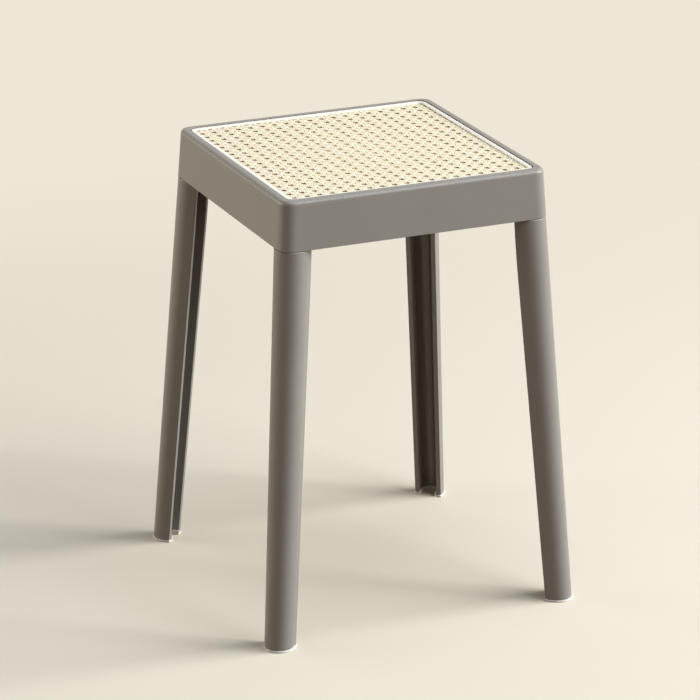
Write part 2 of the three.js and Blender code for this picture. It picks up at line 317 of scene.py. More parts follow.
# %% Plastic with grain and flow
flow_per_metre = 14.0
flow_detail = 4.0
flow_roughness = 0.6
flow_span = (0.3, 0.7)
grain_detail = 2.0
grain_roughness = 0.5
grain_span = (0.25, 0.75)
grain_gloss = (-0.05, 0.07)
plastic_ior = 1.5


def plastic(name, colour, shift, roughness, grain_mm, grain_depth_mm, wave_depth_mm):
    """A moulded plastic: colours, roughness and bump from noise at two scales."""
    material, tree, shader = start_finish(name)
    spot = put(tree, "ShaderNodeTexCoord").outputs["Object"]
    flow_kind = (flow_per_metre, flow_detail, flow_roughness)
    flow = result(put(tree, "ShaderNodeTexNoise", spot, *flow_kind))
    grain_kind = (1 / (grain_mm * mm), grain_detail, grain_roughness)
    grain = result(put(tree, "ShaderNodeTexNoise", spot, *grain_kind))
    darker = [c * (1 - shift) for c in colour]
    lighter = [c * (1 + shift) for c in colour]
    hue = ramp(tree, flow, flow_span, darker, lighter)
    glosses = [roughness + change for change in grain_gloss]
    rough = put(tree, "ShaderNodeMapRange", grain, *grain_span, *glosses)
    waves = put(tree, "ShaderNodeBump", 1.0, wave_depth_mm * mm, None, flow)
    fine = put(tree, "ShaderNodeBump", 1.0, grain_depth_mm * mm, None, grain, result(waves))
    plug_in(shader, hue, result(rough), result(fine))
    shader.inputs["IOR"].default_value = plastic_ior
    return material


def linear(*colour):
    """A colour written in 0 to 255, as a screen shows it, in Blender's linear values."""
    shares = [value / 255 for value in colour]
    return [c / 12.92 if c <= 0.04045 else ((c + 0.055) / 1.055) ** 2.4 for c in shares]


taupe = plastic(
    "taupe plastic",
    linear(140, 135, 129),
    shift=0.03,
    roughness=0.36,
    grain_mm=0.7,
    grain_depth_mm=0.02,
    wave_depth_mm=0.12,
)
print("taupe plastic:", len(taupe.node_tree.nodes), "nodes")

# %% [markdown]
# ## The seat frame: its walls
#
# On the real stool the seat frame is one moulding: a drafted apron, a rounded rim, a shallow
# recess with a deck, and a hollow underside. Cut through the middle, all of that is one line:
# along the deck, up the recess, over the rim, down the apron and back up inside it, with a
# groove under the rim that keeps the wall even. Each point of the line is a rounded square, so
# one loft makes the whole moulding.

# %% Sizes of the seat frame
seat_low, seat_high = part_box("seat_frame")
seat_height = seat_high.z
apron_bottom = seat_low.z
apron_lower_half = seat_high.x
apron_flare = 2.6 * mm
apron_wall = 3 * mm
apron_radius = 12.9 * mm
rim_fillet = 4.5 * mm
rim_flat = 3.9 * mm
rim_edge_round = 0.35 * mm
apron_edge_round = 0.45 * mm
recess_radius = 9.5 * mm
recess_wall = 2.6 * mm
rim_thickness = 3.5 * mm
deck_thickness = 3 * mm
fit_gap = 0.3 * mm

board_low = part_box("backing_board")[0]
deck_top = board_low.z - fit_gap
deck_bottom = deck_top - deck_thickness
apron_upper_half = apron_lower_half - apron_flare
recess_half = apron_upper_half - rim_fillet - rim_flat
wall_slope = apron_flare / (seat_height - rim_fillet - apron_bottom)
apron_depth = seat_height - apron_bottom
print(f"seat {2 * apron_lower_half / mm:.1f} mm wide, apron {apron_depth / mm:.1f} mm")


# %% Follow the section of the moulding
def inside_half(z):
    """Half the clear width inside the apron at a height."""
    return apron_lower_half - wall_slope * (z - apron_bottom) - apron_wall


def frame_section():
    """Half width, corner radius and height of each point of the section, deck to deck."""
    line = [(recess_half, recess_radius, deck_top)]
    rim_edge = (recess_half + rim_edge_round, seat_height - rim_edge_round)
    edge = arc(*rim_edge, rim_edge_round, 180, 90, steps=4)
    line += [(x, recess_radius + x - recess_half, z) for x, z in edge]
    fillet = arc(apron_upper_half - rim_fillet, seat_height - rim_fillet, rim_fillet, 90, 0, steps=14)
    line += [(x, apron_radius + x - apron_upper_half, z) for x, z in fillet]
    low = apron_bottom + apron_edge_round
    outer = arc(apron_lower_half - apron_edge_round, low, apron_edge_round, 0, -90, steps=4)
    line += [(x, apron_radius + x - apron_lower_half, z) for x, z in outer]
    inner_half = inside_half(apron_bottom)
    inner = arc(inner_half + apron_edge_round, low, apron_edge_round, 270, 180, steps=4)
    inner_radius = apron_radius - apron_wall
    line += [(x, inner_radius + x - inner_half, z) for x, z in inner]
    groove_top = seat_height - rim_thickness
    line.append((inside_half(groove_top), inner_radius, groove_top))
    line.append((recess_half + recess_wall, recess_radius + recess_wall, groove_top))
    line.append((recess_half + recess_wall, recess_radius + recess_wall, deck_bottom))
    return line


seat_frame = loft("seat_shell", [rounded_square(*point) for point in frame_section()])
print("section points:", len(frame_section()))

# %% [markdown]
# ## The ribs under the deck
#
# A flat deck of thin plastic needs ribs to carry a person. They repeat at one pitch both ways,
# which is just what Geometry Nodes are for: one rib is a trapezium, thinner at its free edge so
# that it leaves the mould, swept along a line, and then placed on a row of points.

# %% A tree for a row of ribs
rib_inputs = [
    ("Ribs", "Int"),
    ("Pitch", "Float"),
    ("Length", "Float"),
    ("Root width", "Float"),
    ("Edge width", "Float"),
    ("Edge round", "Float"),
    ("Height", "Float"),
    ("Middle height", "Float"),
]
rib_round_points = 3
tree, given = start_tree("row of ribs", rib_inputs)
outline = put(
    tree,
    "GeometryNodeCurvePrimitiveQuadrilateral",
    None,
    given["Height"],
    given["Root width"],
    given["Edge width"],
    0.0,
    mode="TRAPEZOID",
)
rounding = (rib_round_points, given["Edge round"])
outline = put(tree, "GeometryNodeFilletCurve", result(outline), *rounding, mode="POLY")
reach = maths(tree, "MULTIPLY", given["Length"], 0.5)
reach_back = maths(tree, "MULTIPLY", reach, -1.0)
start = put(tree, "ShaderNodeCombineXYZ", reach_back, 0.0, given["Middle height"])
end = put(tree, "ShaderNodeCombineXYZ", reach, 0.0, given["Middle height"])
line = put(tree, "GeometryNodeCurvePrimitiveLine", result(start), result(end))
rib = put(tree, "GeometryNodeCurveToMesh", result(line), result(outline))
rib.inputs["Fill Caps"].default_value = True
last = maths(tree, "SUBTRACT", given["Ribs"], 1.0)
first = maths(tree, "MULTIPLY", maths(tree, "MULTIPLY", last, given["Pitch"]), -0.5)
row = put(
    tree,
    "GeometryNodeMeshLine",
    given["Ribs"],
    result(put(tree, "ShaderNodeCombineXYZ", 0.0, first, 0.0)),
    result(put(tree, "ShaderNodeCombineXYZ", 0.0, given["Pitch"], 0.0)),
)
ribs = put(tree, "GeometryNodeInstanceOnPoints", result(row), None, result(rib))
end_tree(tree, result(ribs), taupe)

# %% Grow the ribs and mould them to the deck
ribs_each_way = 5
rib_depth = 12 * mm
rib_root_width = 2.3 * mm
rib_edge_width = 2.0 * mm
rib_edge_round = 0.4 * mm
rib_pitch = 2 * (apron_lower_half - apron_wall) / (ribs_each_way + 1)
rib_height = rib_depth + deck_thickness / 2

rib_values = {
    "Ribs": ribs_each_way,
    "Pitch": rib_pitch,
    "Length": 2 * apron_upper_half - apron_wall,
    "Root width": rib_root_width,
    "Edge width": rib_edge_width,
    "Edge round": rib_edge_round,
    "Height": rib_height,
    "Middle height": deck_bottom - rib_depth + rib_height / 2,
}
for angle in (0, math.pi / 2):
    ribs = add_piece("ribs", [(0, 0, 0)], [])
    grow(ribs, tree, rib_values)
    ribs.data.transform(Matrix.Rotation(angle, 4, "Z"))
    print("ribs:", len(ribs.data.polygons), "faces, pitch", round(rib_pitch / mm, 2), "mm")
    combine(seat_frame, ribs, "UNION")

# %% [markdown]
# ## The shape of a leg
#
# Each leg is a channel: a half-round nose that points outwards along the diagonal, and two flat
# arms that end at an open edge. It leans outwards and tapers towards the floor, and its open
# edge eases inwards just below the seat. All four are alike, so one leg is drawn in a frame of
# its own, with +X outwards, and turned to its corner when it is done.

# %% Sizes of a leg
shoulder = apron_bottom - fit_gap
plug_top = deck_bottom - fit_gap
glide_sole = 1.8 * mm
leg_bottom = glide_sole + fit_gap
leg_inset = 0.53 * mm
leg_splay = 35.4 * mm
nose_rounds = (15.5 * mm, 19 * mm)
half_widths = (14.75 * mm, 17.35 * mm)
leg_depths = (22.8 * mm, 27.45 * mm)
edge_easing = 1.2 * mm
easing_length = 62 * mm
leg_wall = 5 * mm
leg_edge_round = 0.9 * mm
arm_inner_round = 0.5 * mm
leg_end_round = 0.45 * mm
shoulder_round = 0.9 * mm
nose_steps = 44
easing_steps = 8
overrun = 2 * mm

apron_corner_reach = (apron_lower_half - apron_radius) * math.sqrt(2) + apron_radius
shoulder_nose = apron_corner_reach - leg_inset
noses = (shoulder_nose + leg_splay, shoulder_nose)
edges = (noses[0] - leg_depths[0], noses[1] - leg_depths[1])
easing_start = shoulder - easing_length


def leg_station(z):
    """Nose, depth of the nose's round, half width and open edge of the leg at a height."""
    share = z / shoulder
    sizes = [foot + (top - foot) * share for foot, top in (noses, nose_rounds, half_widths, edges)]
    eased = max(0, (z - easing_start) / easing_length)
    sizes[3] += edge_easing * eased * eased
    return sizes


def leg_heights(bottom, top):
    """Heights where the leg's outline changes its run."""
    steps = [easing_start + easing_length * step / easing_steps for step in range(easing_steps + 1)]
    return [bottom, *[z for z in steps if bottom < z < top], top]


print("nose at the foot and the shoulder, mm:", [round(nose / mm, 2) for nose in noses])


# %% Outlines of the leg and its channel
def nose_line(z, offset):
    """The half ellipse of the nose, from flank to flank, moved outwards by an offset."""
    nose, nose_round, half, _ = leg_station(z)
    return ellipse(nose - nose_round, 0, nose_round + offset, half + offset, -90, 90, nose_steps)


def mirrored(points):
    return [(x, -y) for x, y in reversed(points)]


def leg_outline(z, inset=0.0, edge_round=leg_edge_round):
    """The filled section of a leg, with the outer corners of its arms rounded."""
    _, _, half, edge = leg_station(z)
    x = edge + inset + edge_round
    corner = arc(x, half - inset - edge_round, edge_round, 90, 180, steps=5)
    return [(*point, z) for point in mirrored(corner) + nose_line(z, -inset) + corner]


def channel_outline(z, wall):
    """The space between the arms: the cutter is wider at the open edge, to round their corners."""
    _, _, half, edge = leg_station(z)
    inner = half - wall
    mouth_corner = (edge + arm_inner_round, inner + arm_inner_round)
    mouth = arc(*mouth_corner, arm_inner_round, 270, 180, steps=4)
    mouth.append((edge - overrun, inner + arm_inner_round))
    return [(*point, z) for point in mirrored(mouth) + nose_line(z, -wall) + mouth]


def space_outline(z, offset):
    """The filled section with square corners, grown by an offset, for sockets."""
    _, _, half, edge = leg_station(z)
    corner = [(edge - offset, half + offset)]
    return [(*point, z) for point in mirrored(corner) + nose_line(z, offset) + corner]


# %% Helpers for whole solids of a leg
corners = {"front_left": 225, "front_right": 315, "back_left": 135, "back_right": 45}
turns = {name: Matrix.Rotation(math.radians(angle), 4, "Z") for name, angle in corners.items()}


def leg_solid(name, outline, bottom, top, *sizes):
    return loft(name, [outline(z, *sizes) for z in leg_heights(bottom, top)])


def turned(piece, turn, name):
    """A copy of a piece, turned about the stool's axis, with its place in its mesh."""
    copy = bpy.data.objects.new(name, piece.data.copy())
    copy.data.name = name
    copy.data.transform(turn)
    bpy.context.scene.collection.objects.link(copy)
    return copy


def apron_inside(name, gap, bottom, top):
    """The space inside the apron, made smaller by a gap."""
    levels = [(inside_half(z) - gap, apron_radius - apron_wall - gap, z) for z in (bottom, top)]
    return loft(name, [rounded_square(*level) for level in levels])


def rod(name, x, y, radii, heights, sides=32):
    """A round solid on a height: a radius for each height."""
    rows = []
    for radius, z in zip(radii, heights):
        circle = arc(x, y, radius, 0, 360, sides)[:-1]
        rows.append([(*point, z) for point in circle])
    return loft(name, rows)


# %% [markdown]
# ## Sockets, screw holes and slots
#
# The legs are separate mouldings. Each has a plug that goes up into a socket in a corner of the
# frame, and two countersunk screws hold it from above, hidden under the insert. The sockets
# follow the leg's own outline with a small clearance, so they are made by the same functions.

# %% Cut the four corners
socket_wall = 2.4 * mm
socket_rise = 4 * mm
socket_bottom = apron_bottom + socket_rise
screw_head_radius = 4 * mm
screw_head_height = 2.4 * mm
screw_shank_radius = 2 * mm
screw_spread = 5 * mm
screw_inset = 5.2 * mm
screw_x = leg_station(plug_top)[3] + screw_inset
screw_places = (-screw_spread, screw_spread)

socket_top = deck_bottom + deck_thickness / 2
socket = leg_solid("socket", space_outline, socket_bottom, socket_top, fit_gap + socket_wall)
space_top = plug_top + fit_gap
space = leg_solid("space", space_outline, apron_bottom - overrun, space_top, fit_gap)
for name, turn in turns.items():
    boss = turned(socket, turn, "boss")
    keep = apron_inside("keep", -apron_wall / 2, socket_bottom - overrun, deck_top)
    combine(boss, keep, "INTERSECT")
    combine(seat_frame, boss, "UNION")
for name, turn in turns.items():
    hollow = turned(space, turn, "hollow")
    keep = apron_inside("keep", 0, apron_bottom - overrun - fit_gap, space_top)
    combine(hollow, keep, "INTERSECT")
    combine(seat_frame, hollow, "DIFFERENCE")
    for y in screw_places:
        sink_bottom = deck_top - screw_head_height
        radii = [screw_shank_radius + fit_gap] * 2 + [screw_head_radius + fit_gap] * 2
        heights = [deck_bottom - overrun, sink_bottom, deck_top - fit_gap / 2, deck_top + overrun]
        hole = rod("hole", screw_x, y, radii, heights)
        hole.data.transform(turn)
        combine(seat_frame, hole, "DIFFERENCE")
bpy.data.objects.remove(socket)
bpy.data.objects.remove(space)
print("corners cut:", len(seat_frame.data.polygons), "faces")

# %% Cut the slots for the border's hooks
hook_width = 10 * mm
hook_thickness = 1.6 * mm
hook_barb = 0.9 * mm
hook_barb_height = 2 * mm
hook_inset = 0.5 * mm
hook_pitches = 1.5
border_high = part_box("insert_border")[1]
insert_half = border_high.x
hook_middle = insert_half - hook_inset - hook_thickness / 2
hook_place = hook_pitches * rib_pitch


def brick(name, low, high):
    """A block from its lowest and highest corners."""
    around = ((low[0], low[1]), (high[0], low[1]), (high[0], high[1]), (low[0], high[1]))
    return loft(name, [[(*corner, z) for corner in around] for z in (low[2], high[2])])


slot_half = Vector((hook_thickness / 2 + fit_gap, hook_width / 2 + fit_gap))
for quarter in range(4):
    for y in (-hook_place, hook_place):
        low = (hook_middle - slot_half.x, y - slot_half.y, deck_bottom - overrun)
        high = (hook_middle + slot_half.x, y + slot_half.y, deck_top + overrun)
        slot = brick("slot", low, high)
        slot.data.transform(Matrix.Rotation(math.pi / 2 * quarter, 4, "Z"))
        combine(seat_frame, slot, "DIFFERENCE")
shade(seat_frame, taupe)

# %% [markdown]
# ## The legs
#
# The body of a leg is a filled loft with its ends rounded, and the channel is cut out of it.
# Near the top the wall is thicker, and above the shoulder the plug is kept inside the apron.

# %% Mould one leg
plug_block = 15 * mm
plug_root_depth = 12 * mm
plug_extra_wall = 2 * mm
plug_root = shoulder - plug_root_depth
plug_wall = leg_wall + plug_extra_wall

low_end = arc(leg_end_round, leg_bottom + leg_end_round, leg_end_round, 270, 180, steps=4)
high_end = arc(shoulder_round, shoulder - shoulder_round, shoulder_round, 180, 90, steps=5)
middle = leg_heights(leg_bottom + leg_end_round, shoulder - shoulder_round)[1:-1]
levels = [*low_end, *[(0, z) for z in middle], *high_end]

leg = loft("leg", [leg_outline(z, inset) for inset, z in levels])
plug = loft("plug", [leg_outline(z) for z in (shoulder - overrun, plug_top)])
keep = apron_inside("keep", fit_gap, shoulder - 2 * overrun, plug_top + overrun)
keep.data.transform(Matrix.Rotation(math.pi / 4, 4, "Z"))
combine(plug, keep, "INTERSECT")
combine(leg, plug, "UNION")
combine(leg, leg_solid("channel", channel_outline, 0, plug_root, leg_wall), "DIFFERENCE")
root_bottom = plug_root - overrun
upper = leg_solid("channel", channel_outline, root_bottom, plug_top - plug_block, plug_wall)
combine(leg, upper, "DIFFERENCE")

# %% Drill it for the screws and the glide's pegs
screw_length = 16 * mm
peg_radius = 1.3 * mm
peg_length = 6 * mm
peg_inset = 4.5 * mm
foot = leg_station(leg_bottom)
peg_x = foot[3] + peg_inset
peg_places = [side * (foot[2] - leg_wall / 2) for side in (-1, 1)]

for y in screw_places:
    depth = screw_length - deck_thickness + fit_gap
    radii = [screw_shank_radius + fit_gap] * 2
    hole = rod("hole", screw_x, y, radii, [plug_top - depth, plug_top + overrun])
    combine(leg, hole, "DIFFERENCE")
for y in peg_places:
    radii = [peg_radius + fit_gap] * 2
    hole = rod("hole", peg_x, y, radii, [leg_bottom - overrun, leg_bottom + peg_length + fit_gap])
    combine(leg, hole, "DIFFERENCE")
shade(leg, taupe)

# %% [markdown]
# ## The glides
#
# A white glide sits under each leg, so that the stool slides without a scratch. It has a sole,
# a little wider than the leg, and a low collar inside the channel. Its section is the same all
# the way round the channel, so it is swept: each point of the section follows the leg's wall.

# %% Sweep a section along the leg's wall
glide_outset = 0.7 * mm
glide_collar = 1.4 * mm
collar_height = 4.6 * mm
inner_foot_round = 0.4 * mm
outer_foot_round = 0.7 * mm
top_round = 0.3 * mm
collar_outer = -leg_wall - fit_gap
collar_inner = collar_outer - glide_collar
end_outset = fit_gap + glide_outset


def glide_section():
    """Offset from the leg's outside, and height, of each point of the section."""
    inner_foot = (collar_inner + inner_foot_round, inner_foot_round)
    outer_foot = (glide_outset - outer_foot_round, outer_foot_round)
    sole_edge = (glide_outset - top_round, glide_sole - top_round)
    collar_top = collar_height - top_round
    line = arc(*inner_foot, inner_foot_round, 180, 270, steps=3)
    line += arc(*outer_foot, outer_foot_round, 270, 360, steps=6)
    line += arc(*sole_edge, top_round, 0, 90, steps=3)
    line.append((collar_outer, glide_sole))
    line += arc(collar_outer - top_round, collar_top, top_round, 0, 90, steps=3)
    line += arc(collar_inner + top_round, collar_top, top_round, 90, 180, steps=3)
    return line


def sweep_along_wall(name, section):
    """A section carried from one arm's end round the nose to the other's."""
    rows = []
    for offset, z in section:
        _, _, half, edge = leg_station(z)
        end = (edge - end_outset, half + offset)
        path = [(end[0], -end[1])] + nose_line(z, offset) + [end]
        rows.append([(x, y, z) for x, y in path])
    columns = len(rows[0])
    points = [point for row in rows for point in row]
    faces = [tuple(row * columns for row in range(len(rows)))]
    faces.append(tuple(row * columns + columns - 1 for row in range(len(rows))))
    for row in range(len(rows)):
        here = row * columns
        there = (row + 1) % len(rows) * columns
        for column in range(columns - 1):
            faces.append((here + column, here + column + 1, there + column + 1, there + column))
    return add_piece(name, points, faces)


glide_end_round = 0.35 * mm
peg_chamfer = 0.4 * mm
peg_sides = 24
glide = sweep_along_wall("glide", glide_section())
bevel = glide.modifiers.new("round ends", "BEVEL")
bevel.width = glide_end_round
bevel.segments = 3
bevel.limit_method = "ANGLE"
bevel.angle_limit = math.radians(60)
settle(glide)
for y in peg_places:
    radii = [peg_radius, peg_radius, peg_radius - peg_chamfer]
    top = leg_bottom + peg_length
    peg = rod("peg", peg_x, y, radii, [glide_sole / 2, top - peg_chamfer, top], peg_sides)
    combine(glide, peg, "UNION")

# %% [markdown]
# ## Finish 2: white and ivory plastic
#
# The glides are a smooth white plastic. The border is ivory, a little warmer and more satin.
# Both are the taupe plastic's recipe with other values.

# %% White glides and ivory border
white = plastic(
    "white plastic",
    linear(248, 245, 238),
    shift=0.015,
    roughness=0.36,
    grain_mm=0.9,
    grain_depth_mm=0.008,
    wave_depth_mm=0.05,
)
ivory = plastic(
    "ivory plastic",
    linear(246, 241, 230),
    shift=0.015,
    roughness=0.4,
    grain_mm=0.6,
    grain_depth_mm=0.012,
    wave_depth_mm=0.08,
)
shade(glide, white)

# %% Place the legs and the glides on the corners
for name, turn in turns.items():
    for pattern, node in ((leg, f"leg_{name}"), (glide, f"glide_{name}")):
        piece = turned(pattern, turn, f"{node}_look")
        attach(piece, "root")
        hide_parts(node)
        low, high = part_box(node)
        print(f"{piece.name} stands for {node}, {low.z / mm:.2f} to {high.z / mm:.2f} mm high")
bpy.data.objects.remove(leg)
bpy.data.objects.remove(glide)

# %% [markdown]
# ## The border of the insert
#
# The border is a square ring. A groove parts it from the rim. Its top slopes inwards a little and
# ends in a lip, which clamps the edge of the web, and eight hooks below it snap through slots of
# the deck. The ring is a loft that closes on itself, and Geometry Nodes repeat one hook. The
# same ring could be a square bevelled by a curve, but the loft keeps each corner's own radius.

# %% Loft the ring
border_sunk = 0.25 * mm
insert_top = border_high.z - border_sunk
web_low, web_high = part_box("cane_webbing")
web_half = web_high.x
insert_gap = 0.5 * mm
insert_radius = recess_radius - insert_gap
border_width = 4.2 * mm
groove_step = 0.2 * mm
groove_depth = 1.8 * mm
border_edge_round = 0.35 * mm
lip_steps = 6
lip_slope_power = 1.9
lip_drop = 0.35 * mm
lip_round = 0.3 * mm
bead_width = 0.4 * mm
bead_height = 1.0 * mm
bead_bottom = web_low.z + bead_height
opening_half = insert_half - border_width
opening_radius = 4 * mm
rebate_half = web_half + fit_gap
lip_bottom = web_high.z + fit_gap


def border_section():
    """Half width, corner radius and height of each point round the border's section."""
    groove_bottom = insert_top - groove_depth
    edge_inset = groove_step + border_edge_round
    line = [(insert_half, insert_radius, z) for z in (board_low.z, groove_bottom)]
    line.append((insert_half - groove_step, insert_radius - groove_step, groove_bottom))
    edge_middle = (insert_half - edge_inset, insert_top - border_edge_round)
    outer = arc(*edge_middle, border_edge_round, 0, 90, steps=5)
    line += [(x, insert_radius + x - insert_half, z) for x, z in outer]
    top_inner = opening_half + lip_round
    radius_outer = insert_radius - edge_inset
    radius_inner = opening_radius + lip_round
    for step in range(1, lip_steps):
        share = step / lip_steps
        x = edge_middle[0] + (top_inner - edge_middle[0]) * share
        radius = radius_outer + (radius_inner - radius_outer) * share
        line.append((x, radius, insert_top - lip_drop * share**lip_slope_power))
    inner = arc(top_inner, insert_top - lip_drop - lip_round, lip_round, 90, 180, steps=5)
    line += [(x, opening_radius + x - opening_half, z) for x, z in inner]
    line.append((opening_half, opening_radius, bead_bottom))
    bead_outer = (opening_half + bead_width, opening_radius + bead_width)
    line += [(*bead_outer, z) for z in (bead_bottom, lip_bottom)]
    rebate = (rebate_half, opening_radius + fit_gap)
    line += [(*rebate, z) for z in (lip_bottom, board_low.z)]
    return line


border_outlines = [rounded_square(*point) for point in border_section()]
border = loft("insert_border_look", border_outlines, ring=True)

# %% A tree that repeats a hook round the square
tree, given = start_tree("hooks round a square", [("Place", "Float")])
mirror_place = maths(tree, "MULTIPLY", given["Place"], -1.0)
distance = maths(tree, "MULTIPLY", given["Place"], 2.0)
first = put(tree, "ShaderNodeCombineXYZ", 0.0, mirror_place, 0.0)
apart = put(tree, "ShaderNodeCombineXYZ", 0.0, distance, 0.0)
pair = put(tree, "GeometryNodeMeshLine", 2, result(first), result(apart))
side = put(tree, "GeometryNodeInstanceOnPoints", result(pair), None, given["Geometry"])
sides = put(tree, "GeometryNodeMeshLine", 4, (0, 0, 0), (0, 0, 0))
index = result(put(tree, "GeometryNodeInputIndex"))
turn = put(tree, "ShaderNodeCombineXYZ", 0.0, 0.0, maths(tree, "MULTIPLY", index, math.pi / 2))
square = put(tree, "GeometryNodeInstanceOnPoints", result(sides), None, result(side))
tree.links.new(result(turn), square.inputs["Rotation"])
end_tree(tree, result(square), ivory)

# %% Shape one hook and repeat it
barb_top = deck_bottom - fit_gap
barb_bottom = barb_top - hook_barb_height
stem_inner = hook_middle - hook_thickness / 2
stem_outer = hook_middle + hook_thickness / 2
stem_reach = 2.6 * mm
stem_top = board_low.z + stem_reach
hook_edge_round = 0.2 * mm
hook_line = [
    (stem_inner, barb_bottom),
    (stem_outer, barb_bottom),
    (stem_outer + hook_barb, barb_top),
    (stem_outer, barb_top),
    (stem_outer, stem_top),
    (stem_inner, stem_top),
]
hook_ends = (-hook_width / 2, hook_width / 2)
hooks = loft("hooks", [[(x, y, z) for x, z in hook_line] for y in hook_ends])
bevel = hooks.modifiers.new("round edges", "BEVEL")
bevel.width = hook_edge_round
bevel.segments = 2
settle(hooks)
grow(hooks, tree, {"Place": hook_place})
combine(border, hooks, "UNION")
shade(border, ivory)
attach(border, "root")
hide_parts("insert_border")

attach(seat_frame, "root")
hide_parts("seat_frame")

# %% [markdown]
# ## The cane web: how it is woven
#
# Six-way cane has pairs of strands lengthwise and crosswise, and single strands on both
# diagonals. Where two pairs meet they weave plainly, over and under. The diagonals cross each
# other between the holes, one above and one below the pair that passes there, and what is left
# open is an eight-sided hole. The real web is woven from flat cream strands, so each strand is
# made, not painted. One Geometry Nodes tree lays any of the four sets: a strand is a line of
# points, its height follows a wave along the web, and a flat oval is swept along it. The web
# hangs a little lower in the middle of the seat than at the border that clamps it.

# %% A tree that lays a set of strands
strand_inputs = [
    ("Strands", "Int"),
    ("Strands per group", "Int"),
    ("Group spacing", "Float"),
    ("Spread", "Float"),
    ("First group", "Float"),
    ("Samples", "Int"),
    ("Sample step", "Float"),
    ("Turn", "Float"),
    ("Origin", "Vector"),
    ("Wave axis", "Vector"),
    ("Wave length", "Float"),
    ("Wave start", "Float"),
    ("Swing", "Float"),
    ("Second swing", "Float"),
    ("Width", "Float"),
    ("Thickness", "Float"),
    ("Clip half", "Float"),
    ("Sag", "Float"),
    ("Seed", "Int"),
]
cane_profile_points = 8
tree, given = start_tree("woven strands", strand_inputs)

# %% Where each strand starts
index = result(put(tree, "GeometryNodeInputIndex"))
group = maths(tree, "FLOOR", maths(tree, "DIVIDE", index, given["Strands per group"]))
before = maths(tree, "MULTIPLY", group, given["Strands per group"])
member = maths(tree, "SUBTRACT", index, before)
side = maths(tree, "SUBTRACT", 1.0, maths(tree, "MULTIPLY", member, 2.0))
group_place = maths(tree, "MULTIPLY_ADD", group, given["Group spacing"], given["First group"])
place = maths(tree, "MULTIPLY_ADD", side, given["Spread"], group_place)
chance = result(put(tree, "FunctionNodeRandomValue", 0.0, 1.0, index, given["Seed"]))

starts = result(put(tree, "GeometryNodeMeshLine", given["Strands"], (0, 0, 0), (0, 0, 0)))
starts = result(put(tree, "GeometryNodeStoreNamedAttribute", starts, None, "side", side))
starts = result(put(tree, "GeometryNodeStoreNamedAttribute", starts, None, "tint", chance))
spot = result(put(tree, "ShaderNodeCombineXYZ", 0.0, place, 0.0))
starts = result(put(tree, "GeometryNodeSetPosition", starts, None, spot))

# %% Strands as rows of points, turned and waved
whole_run = maths(tree, "MULTIPLY", given["Samples"], given["Sample step"])
half_run = maths(tree, "MULTIPLY", whole_run, -0.5)
run_start = result(put(tree, "ShaderNodeCombineXYZ", half_run, 0.0, 0.0))
run_step = result(put(tree, "ShaderNodeCombineXYZ", given["Sample step"], 0.0, 0.0))
run = result(put(tree, "GeometryNodeMeshLine", given["Samples"], run_start, run_step))
run = result(put(tree, "GeometryNodeMeshToCurve", run))
strands = result(put(tree, "GeometryNodeInstanceOnPoints", starts, None, run))
strands = result(put(tree, "GeometryNodeRealizeInstances", strands))
position = result(put(tree, "GeometryNodeInputPosition"))
flat = put(tree, "ShaderNodeSeparateXYZ", position)
run_place = flat.outputs["X"]
strands = result(put(tree, "GeometryNodeStoreNamedAttribute", strands, None, "along", run_place))
turning = ((0, 0, 0), given["Turn"])
swung = put(tree, "ShaderNodeVectorRotate", position, *turning, rotation_type="Z_AXIS")
moved = result(put(tree, "ShaderNodeVectorMath", result(swung), given["Origin"], operation="ADD"))
strands = result(put(tree, "GeometryNodeSetPosition", strands, None, moved))

# %% Raise and lower them with the weave, and let the web sag
way = put(tree, "ShaderNodeVectorMath", position, given["Wave axis"], operation="DOT_PRODUCT")
way = maths(tree, "SUBTRACT", way.outputs["Value"], given["Wave start"])
phase = maths(tree, "DIVIDE", way, given["Wave length"])
angle = maths(tree, "MULTIPLY", phase, 2 * math.pi)
wave = maths(tree, "MULTIPLY", maths(tree, "SINE", angle), given["Swing"])
twice = maths(tree, "SINE", maths(tree, "MULTIPLY", angle, 2.0))
wave = maths(tree, "MULTIPLY_ADD", twice, given["Second swing"], wave)
side_kept = put(tree, "GeometryNodeInputNamedAttribute", "side", data_type="FLOAT")
lift = maths(tree, "MULTIPLY", result(side_kept), wave)
level = put(tree, "ShaderNodeSeparateXYZ", position)
off_x = maths(tree, "ABSOLUTE", level.outputs["X"])
off_y = maths(tree, "ABSOLUTE", level.outputs["Y"])
inwards = []
for off in (off_x, off_y):
    outwards = maths(tree, "DIVIDE", off, given["Clip half"])
    inwards.append(maths(tree, "SUBTRACT", 1.0, maths(tree, "MULTIPLY", outwards, outwards)))
sag_share = maths(tree, "MULTIPLY", *inwards)
lift = maths(tree, "SUBTRACT", lift, maths(tree, "MULTIPLY", sag_share, given["Sag"]))
lift = result(put(tree, "ShaderNodeCombineXYZ", 0.0, 0.0, lift))
strands = result(put(tree, "GeometryNodeSetPosition", strands, None, None, lift))

